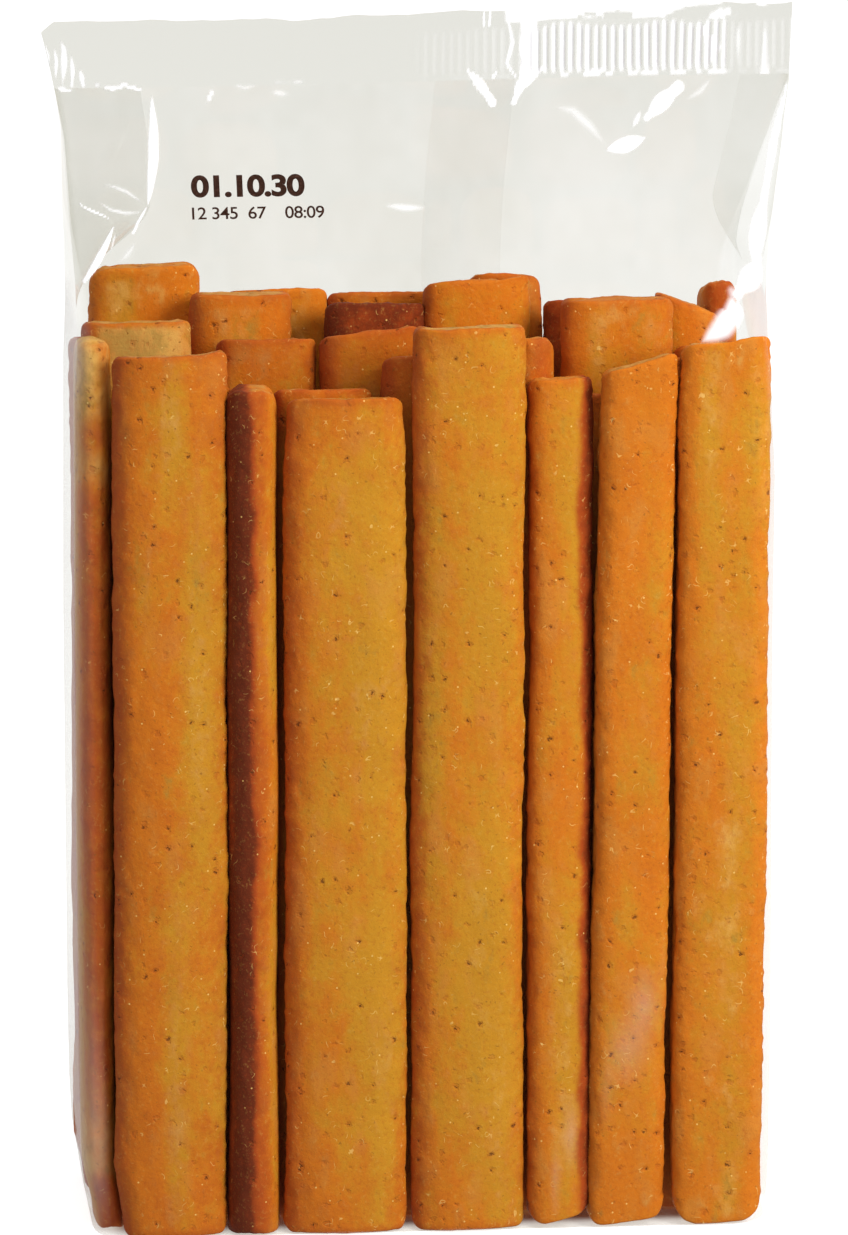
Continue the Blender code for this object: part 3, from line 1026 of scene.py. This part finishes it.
@dataclass
class FilmBag:
    """The clear film: walls on the sticks, a head with folded-in sides, a crimped seal.

    The rise of the head's right end begins at rise_from and is whole at
    rise_to, both as x and z.
    """

    finish: bpy.types.Material
    slack: float = 0.35
    shoulder_front: float = 162.1
    shoulder_back: float = 166.6
    head_foot: float = 150.0
    seal_foot: float = 200.9
    seal_height: float = 11.4
    seal_growth: float = 0.115
    seal_thickness: float = 0.36
    rise: float = 0.9
    rise_from: tuple = (-35.0, 165.0)
    rise_to: tuple = (55.0, 200.0)
    corner: float = 4.5
    base_round: float = 1.8
    tuck_left: float = 15.2
    tuck_right: float = 9.0
    crimp_pitch: float = 1.49
    crimp_depth: float = 0.26
    seam: tuple = (4.3, 18.4)
    front_columns: int = 350
    back_columns: int = 64
    side_columns: int = 26
    corner_steps: int = 6
    body_rows: int = 20
    head_rows: int = 176
    seal_grid: tuple = (22, 700)
    seam_grid: tuple = (90, 12)

    def __post_init__(self) -> None:
        """Read the bag's depth from the frame, and space the front's columns closer where it is creased."""
        low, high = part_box(BAG_NODE)
        self.half_depth = (high.y - low.y) / 2 / MM - self.slack
        place = np.linspace(0, 1, 400)
        density = 1 + 1.2 * (place < 0.16) + 0.6 * (place > 0.58)
        runs = np.cumsum(density) - density[0]
        self.spacing = np.interp(np.linspace(0, 1, self.front_columns), runs / runs[-1], place)

    def build(self) -> list:
        """Build the shell, the seal and the back seam.

        Returns:
            The film's objects.
        """
        pieces = [self._shell(), self._seal(), self._back_seam()]
        for piece in pieces:
            piece.visible_shadow = False
            piece.visible_diffuse = False
            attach(piece, BODY)
            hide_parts(BAG_NODE)
            LOG.info("%s: %d vertices", piece.name, len(piece.data.vertices))
        return pieces

    def face_depth(self, z: np.ndarray, side: int) -> np.ndarray:
        """Distance of the front (side -1) or back (side 1) wall from the middle, by height."""
        shoulder = self.shoulder_front if side < 0 else self.shoulder_back
        t = np.clip((z - shoulder) / (self.seal_foot - shoulder), 0, 1)
        bow = 1.1 * np.sin(math.pi * t) - 0.5 * np.exp(-(((z - shoulder) / 4.0) ** 2))
        return mix(self.half_depth, self.seal_thickness / 2, t) + bow

    def lift(self, x: np.ndarray, z: np.ndarray) -> np.ndarray:
        """How much higher the head stands towards the right end."""
        (x_from, z_from), (x_to, z_to) = self.rise_from, self.rise_to
        return self.rise * ramp(x, x_from, x_to) * ramp(z, z_from, z_to)

    def grey(self, x: np.ndarray, z: np.ndarray) -> np.ndarray:
        """Tone of the film, which is lighter on the right below the seal."""
        return 1 - ramp(x, 8, 34) * mix(0.17, 0.02, ramp(z, 183, 199))

    def _shell(self) -> bpy.types.Object:
        """The film from the base up to the seal."""
        base = self.base_round * (1 - np.cos(np.linspace(0, math.pi / 2, 5)))
        body = np.linspace(self.base_round, self.head_foot, self.body_rows)[1:]
        head = np.linspace(self.head_foot, self.seal_foot, self.head_rows)[1:]
        rings = [self._ring(z) for z in np.concatenate([base, body, head])]
        x, y, z, tone, haze, shine = np.concatenate(rings).T
        columns = len(rings[0])
        near = np.tile(np.arange(columns) < self.front_columns + self.corner_steps, len(rings))
        # The creases paint white highlights on the front and raise it.
        white, raised = self._creased(HEAD_CREASES, x[near], z[near])
        haze[near] = np.maximum(haze[near], white)
        y[near] -= raised
        faces = grid_faces(len(rings), columns, closed=True)
        faces.append(tuple(range(columns))[::-1])
        shell = make_object("film_shell", stacked(x, y, z), faces, self.finish)
        add_attributes(shell, grey=tone, haze=haze, shine=shine)
        return shell

    def _creased(self, creases: tuple, x: np.ndarray, z: np.ndarray) -> tuple:
        """Painted highlight whiteness and relief that several creases give the film at places on it."""
        white, raised = zip(*(crease.measure(x, z) for crease in creases))
        return np.maximum.reduce(white), np.maximum.reduce(raised)

    def _ring(self, z: float) -> np.ndarray:
        """One level of the shell, anticlockwise from the front's left end.

        Args:
            z: Height of the level.

        Returns:
            Rows of x, y, z, tone, haze and shine.
        """
        inset = rounding(self.base_round - z, self.base_round)
        left = np.interp(z, *zip(*LEFT_EDGE)) + inset
        right = np.interp(z, *zip(*RIGHT_EDGE)) - inset
        front = self.face_depth(z, -1) - inset
        back = self.face_depth(z, 1) - inset
        corner = min(self.corner, 0.45 * (front + back)) * (1 - 0.94 * ramp(z, 150, 182))
        x = np.linspace(right - corner, left + corner, self.back_columns)
        back_run = stacked(x, back - self._dip(x, z, 83))
        x = mix(left + corner, right - corner, self.spacing)
        front_run = stacked(x, -front + self._dip(x, z, 71))
        right_run = self._side(right, front, back, corner, z, 1)
        left_run = self._side(-left, front, back, corner, z, -1)
        flat = np.concatenate([front_run, right_run, back_run, left_run])
        fold = ramp(z, 168, 190)
        hem = ramp(np.minimum(x - left, right - x), 1.6, 0) * ramp(z, 163, 168)
        cloudy = 0.16 * noise(75, x / 8, z / 9, 0) + 0.08 * noise(76, x / 8 * 3.5, z / 9 * 3.5, 0)
        tones = [self.grey(x, z) + 0.7 * hem + cloudy, np.full(len(right_run), mix(0.5, 0.1, fold))]
        tones += [self.grey(back_run[:, 0], z), np.full(len(left_run), mix(0.7, 0.2, fold))]
        # The white down the left side, where the film is seen edge on, is a painted reflection.
        low = ramp(z, 60, 15)
        inner = mix(-56.4, -54.6, low)
        haze = (mix(0.10, 0.22, ramp(z, 148, 156)) + 0.08 * low) * ramp(flat[:, 0], inner, inner - 3.4)
        haze *= 1 - ramp(z, 161, 166)
        shine = [np.ones(len(front_run)), np.full(len(right_run), 1 - 0.8 * fold)]
        shine += [np.ones(len(back_run)), np.full(len(left_run), 1 - 0.3 * fold)]
        height = z + self.lift(flat[:, 0], z)
        return np.column_stack([flat, height, np.concatenate(tones), haze, np.concatenate(shine)])

    def _dip(self, x: np.ndarray, z: float, seed: int) -> np.ndarray:
        """How far a wall dips inwards from its flat form."""
        body = 0.12 + 0.12 * noise(seed, x / 11, z / 34, 0)
        head = 0.45 * noise(seed + 1, x / 17, z / 15, 0) * min(1.0, (self.seal_foot - z) / 6)
        return mix(body, head, ramp(z, 152, 166))

    def _side(self, half: float, front: float, back: float, corner: float, z: float, side: int) -> np.ndarray:
        """The side wall at one level, in the ring's order.

        Args:
            half: Distance of the wall from the middle.
            front: Distance of the front wall from the middle.
            back: The same for the back wall.
            corner: Radius of the upright corners.
            z: Height of the level.
            side: 1 for the right wall, -1 for the left.

        Returns:
            The wall's points, front to back on the right and back to front on the left.
        """
        angles = np.linspace(0, math.pi / 2, self.corner_steps + 1)[1:]
        tuck, bend = (self.tuck_right, 0.7) if side > 0 else (self.tuck_left, 0.55)
        t = np.linspace(0, 1, self.side_columns)[1:-1]
        wall_x = half - tuck * ramp(z, 164, 181) * (1 - np.abs(2 * t - 1)) ** bend
        arc_x = half - corner + corner * np.sin(angles)
        arc_y = corner * (1 - np.cos(angles))
        x = np.concatenate([arc_x, wall_x, arc_x[::-1]])
        y = np.concatenate([arc_y - front, mix(corner - front, back - corner, t), back - arc_y[::-1]])
        run = stacked(side * x, y)
        return run if side > 0 else run[::-1]

    def _seal(self) -> bpy.types.Object:
        """The flat crimped seal above the head, a thin closed slab."""
        rows, columns = self.seal_grid
        u, t = (grid.ravel() for grid in np.meshgrid(np.linspace(0, 1, columns), np.linspace(0, 1, rows)))
        z = self.seal_foot + self.seal_height * t
        left = np.interp(z, *zip(*LEFT_EDGE))
        right = np.interp(z, *zip(*RIGHT_EDGE))
        x = mix(left, right, u)
        z += self.seal_growth * self.seal_height * t * ramp(x, self.rise_from[0], self.rise_to[0])
        wavy = 0.35 * noise(91, x / 9, 0, 0) + 0.15 * noise(92, x / 9 * 4, 0, 0)
        chamfer = np.clip(2.2 - (x - left), 0, None) * 0.8
        z += self.lift(x, self.seal_foot) + t**2 * (wavy - chamfer)
        ribs = np.cos(2 * math.pi * (x + 0.35 * noise(93, x / 9 * 1.5, 0, 0) * t) / self.crimp_pitch)
        bright = self._bright_ribs(x)
        band = smooth((t - 0.04) * 9) * smooth((0.80 + 0.06 * noise(94, x / 9 * 2, 0, 0) - t) * 9)
        depth = self.crimp_depth * (0.25 + 0.75 * bright) * band * ribs
        depth += 0.9 * noise(95, x / 26, 0, 0) * t**1.5
        half = self.seal_thickness / 2
        points = np.concatenate([stacked(x, depth - half, z), stacked(x, depth + half, z)])
        seal = make_object("film_seal", points, self._slab_faces(rows, columns), self.finish)
        # The white on the bright ribs, along the top edge, at the foot, near the right end and on the creases
        # is painted highlight.
        shown = ramp(ribs + 0.5 * noise(96, x / 9 * 5, 0, 0), -0.65, 0.35)
        white = bright * band * (0.25 + 0.75 * shown)
        margin_highlight = ramp(x, 16.4, 17.6) * ramp(x, 57.8, 57.0) * smooth((t - 0.80) * 16)
        margin_highlight *= 1 - self._creased(SEAL_WINDOWS, x, z)[0]
        foot = 0.8 * bright * smooth(1 - np.abs(t - 0.05) * 16) * smooth(3 * noise(98, x / 1.3, t * 4, 0))
        crumple_highlight = 0.45 * ramp(x, 55, 57) * smooth(2 * noise(99, x / 1.6, t * 2, 0)) * ramp(t, 0.72, 0.62)
        creased = self._creased(HEAD_CREASES + SEAL_CREASES, x, z)[0]
        front = np.clip(np.maximum.reduce([white, margin_highlight, foot, crumple_highlight, creased]), 0, 1)
        tone = np.tile(self.grey(x, z) * (1 + 0.35 * bright * band), 2)
        add_attributes(seal, grey=tone, haze=np.concatenate([front, front * 0]), shine=np.ones(len(tone)))
        return seal

    def _slab_faces(self, rows: int, columns: int) -> list:
        """Faces of a thin slab: a grid in front, the same one behind it, and its edges but the lowest."""
        faces = grid_faces(rows, columns, closed=False)
        count = rows * columns
        faces += [tuple(count + i for i in face[::-1]) for face in faces]
        rim = [r * columns + columns - 1 for r in range(rows)]
        rim += [(rows - 1) * columns + c for c in range(columns - 2, -1, -1)]
        rim += [r * columns for r in range(rows - 2, -1, -1)]
        return faces + [(a, count + a, count + b, b) for a, b in zip(rim, rim[1:])]

    def _bright_ribs(self, x: np.ndarray) -> np.ndarray:
        """Where along the seal the ribs stand out, deeper and with painted highlights, from 0 to 1."""
        bright = ramp(x, 20, 23) * ramp(x, 56.2, 55.0)
        return np.maximum(bright, 0.12 * ramp(x, 0, 4) + 0.06 * ramp(x, 12, 14))

    def _back_seam(self) -> bpy.types.Object:
        """The flap of the seam that runs down the middle of the back."""
        rows, columns = self.seam_grid
        grids = np.meshgrid(np.linspace(1, 0, columns), np.linspace(2.0, self.seal_foot, rows))
        u, z = (grid.ravel() for grid in grids)
        x = mix(*self.seam, u) + 0.25 * noise(61, z / 20, 0, 0)
        y = self.face_depth(z, 1) + 0.15 + 0.12 * noise(62, x / 6, z / 12, 0)
        points = stacked(x, y, z + self.lift(x, z))
        seam = make_object("film_back_seam", points, grid_faces(rows, columns, closed=False), self.finish)
        add_attributes(seam, grey=np.full(len(x), 0.12), haze=x * 0, shine=np.ones(len(x)))
        return seam


# ---------------------------------------------------------------- print


@dataclass
class DateCode:
    """Two lines of plain numbers printed on the front of the head.

    A line has its name, its numbers, where its right end is, the height of its
    foot, the height of a digit, and how much bolder its strokes are.
    """

    finish: bpy.types.Material
    bag: FilmBag
    left: float = -38.9
    large: tuple = ("date_code_large", "01.10.30", -19.2, 183.8, 3.9, 0.20)
    small: tuple = ("date_code_small", "12 345  67    08:09", -16.0, 180.2, 2.3, 0.03)
    letter_gap: float = 0.94
    digit_share: float = 0.729
    slope: float = 0.85
    clear: float = 0.5

    def build(self) -> list:
        """Print both lines.

        Returns:
            The printed lines' objects.
        """
        lines = [self._line(*self.large), self._line(*self.small)]
        for line in lines:
            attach(line, BODY)
            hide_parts(BAG_NODE)
            LOG.info("%s: %d vertices", line.name, len(line.data.vertices))
        return lines

    def _line(
        self, name: str, text: str, right: float, z: float, height: float, weight: float
    ) -> bpy.types.Object:
        """One line of numbers, laid on the film.

        Args:
            name: The piece's name.
            text: The numbers.
            right: Where the line ends.
            z: Height of its foot on the bag.
            height: Height of a digit.
            weight: How much bolder the strokes are than the plain face.

        Returns:
            The line as a mesh.
        """
        curve = bpy.data.curves.new(name, "FONT")
        curve.body = text
        curve.size = height / self.digit_share
        curve.offset = weight
        curve.space_character = self.letter_gap
        maker = bpy.data.objects.new(name + "_maker", curve)
        bpy.context.scene.collection.objects.link(maker)
        bpy.context.view_layer.update()
        mesh = bpy.data.meshes.new_from_object(maker.evaluated_get(bpy.context.evaluated_depsgraph_get()))
        bpy.data.objects.remove(maker)
        bpy.data.curves.remove(curve)
        flat = np.zeros(len(mesh.vertices) * 3)
        mesh.vertices.foreach_get("co", flat)
        u, v, _ = flat.reshape(-1, 3).T
        x = mix(self.left, right, (u - u.min()) / np.ptp(u))
        heights = z + v * self.slope
        placed = stacked(x, -self.bag.face_depth(heights, -1) - self.clear, heights)
        mesh.vertices.foreach_set("co", (placed * MM).ravel())
        mesh.update()
        mesh.name = name
        mesh.materials.clear()
        mesh.materials.append(self.finish)
        line = bpy.data.objects.new(name, mesh)
        bpy.context.scene.collection.objects.link(line)
        return line


# ---------------------------------------------------------------- studio


@dataclass
class Studio:
    """Camera, lights and a plain pale floor. Angles are in degrees.

    dark_room is how bright the surroundings are that the film mirrors from in
    front of the bag, and room_edge where they turn bright, from front to back.
    A soft light has its azimuth, elevation, distance, width and height in
    metres, and its power.
    """

    azimuth: float = -5.0
    elevation: float = 12.5
    distance: float = 1.5
    aim: tuple = (2.6, 0.0, 105.6)
    frame_height: float = 218.2
    sensor: float = 36.0
    ambient: float = 0.56
    dark_room: float = 0.02
    room_edge: tuple = (-0.1, 0.5)
    key_light: tuple = (44, 27, 0.78, 0.30, 0.42, 5.75)
    top_light: tuple = (15, 70, 1.2, 0.7, 0.4, 4.6)
    light_aim: tuple = (0, 0, 100)
    floor_reach: float = 6000.0
    floor_drop: float = 0.2

    def build(self) -> None:
        """Set up everything around the bag."""
        self._camera()
        self._world()
        self._floor()
        self._softbox("key_light", *self.key_light)
        self._softbox("top_light", *self.top_light)
        scene = bpy.context.scene
        scene.view_settings.view_transform = "Standard"
        scene.cycles.max_bounces = 6
        scene.cycles.diffuse_bounces = 2
        scene.cycles.glossy_bounces = 2
        scene.cycles.transparent_max_bounces = 16

    def _direction(self, azimuth: float, elevation: float) -> Vector:
        """Unit vector from the bag towards an azimuth and elevation."""
        a, e = math.radians(azimuth), math.radians(elevation)
        return Vector((math.sin(a) * math.cos(e), -math.cos(a) * math.cos(e), math.sin(e)))

    def _stand(
        self, name: str, data: bpy.types.ID, aim: tuple, away: Vector, distance: float
    ) -> bpy.types.Object:
        """Stand a camera or a light at a distance from a point in millimetres, looking at it."""
        made = bpy.data.objects.new(name, data)
        made.location = Vector(aim) * MM + away * distance
        made.rotation_mode = "QUATERNION"
        made.rotation_quaternion = (-away).to_track_quat("-Z", "Y")
        bpy.context.scene.collection.objects.link(made)
        return made

    def _camera(self) -> None:
        """Long-lens camera in front of the bag, looking a little down."""
        data = bpy.data.cameras.new("camera")
        data.sensor_width = self.sensor
        data.lens = self.sensor * self.distance / (self.frame_height * MM)
        data.clip_end = 50.0
        away = self._direction(self.azimuth, self.elevation)
        bpy.context.scene.camera = self._stand("camera", data, self.aim, away, self.distance)

    def _world(self) -> None:
        """White for the camera, soft light for the bag, and a dark room for the film to mirror."""
        world = bpy.data.worlds.new("studio")
        world.use_nodes = True
        w = Nodes(world.node_tree)
        ray = w.node("ShaderNodeLightPath", {}, {}).outputs
        back = w.parts(w.value("ShaderNodeTexCoord", "Generated", {}))[1]
        mirrored = back.span(*self.room_edge, self.dark_room, 1.0)
        unseen = Value(w, ray["Is Glossy Ray"]).span(0.0, 1.0, self.ambient, mirrored)
        strength = Value(w, ray["Is Camera Ray"]).span(0.0, 1.0, unseen, 1.0)
        light = w.value("ShaderNodeBackground", 0, {"Color": (1, 1, 1, 1), "Strength": strength})
        w.node("ShaderNodeOutputWorld", {}, {"Surface": light})
        bpy.context.scene.world = world

    def _floor(self) -> None:
        """A wide pale floor."""
        reach = self.floor_reach
        corners = [(-reach, -reach), (reach, -reach), (reach, reach), (-reach, reach)]
        points = np.array([(x, y, -self.floor_drop) for x, y in corners])
        floor = make_object("studio_floor", points, [(0, 1, 2, 3)], FloorFinish().make())
        floor.visible_diffuse = False
        floor.visible_glossy = False

    def _softbox(
        self,
        name: str,
        azimuth: float,
        elevation: float,
        distance: float,
        width: float,
        height: float,
        watts: float,
    ) -> None:
        """A soft light aimed at the middle of the bag."""
        data = bpy.data.lights.new(name, "AREA")
        data.shape = "RECTANGLE"
        data.size, data.size_y = width, height
        data.energy = watts
        light = self._stand(name, data, self.light_aim, self._direction(azimuth, elevation), distance)
        light.visible_camera = False
        light.visible_glossy = False


# ---------------------------------------------------------------- all


def main() -> None:
    """Build the bag's pieces and the studio."""
    logging.basicConfig(level=logging.INFO, format="%(message)s")
    Studio().build()
    Bundle(BreadFinish().make()).build()
    bag = FilmBag(FilmFinish().make())
    bag.build()
    DateCode(InkFinish().make(), bag).build()


if __name__ == "__main__":
    main()
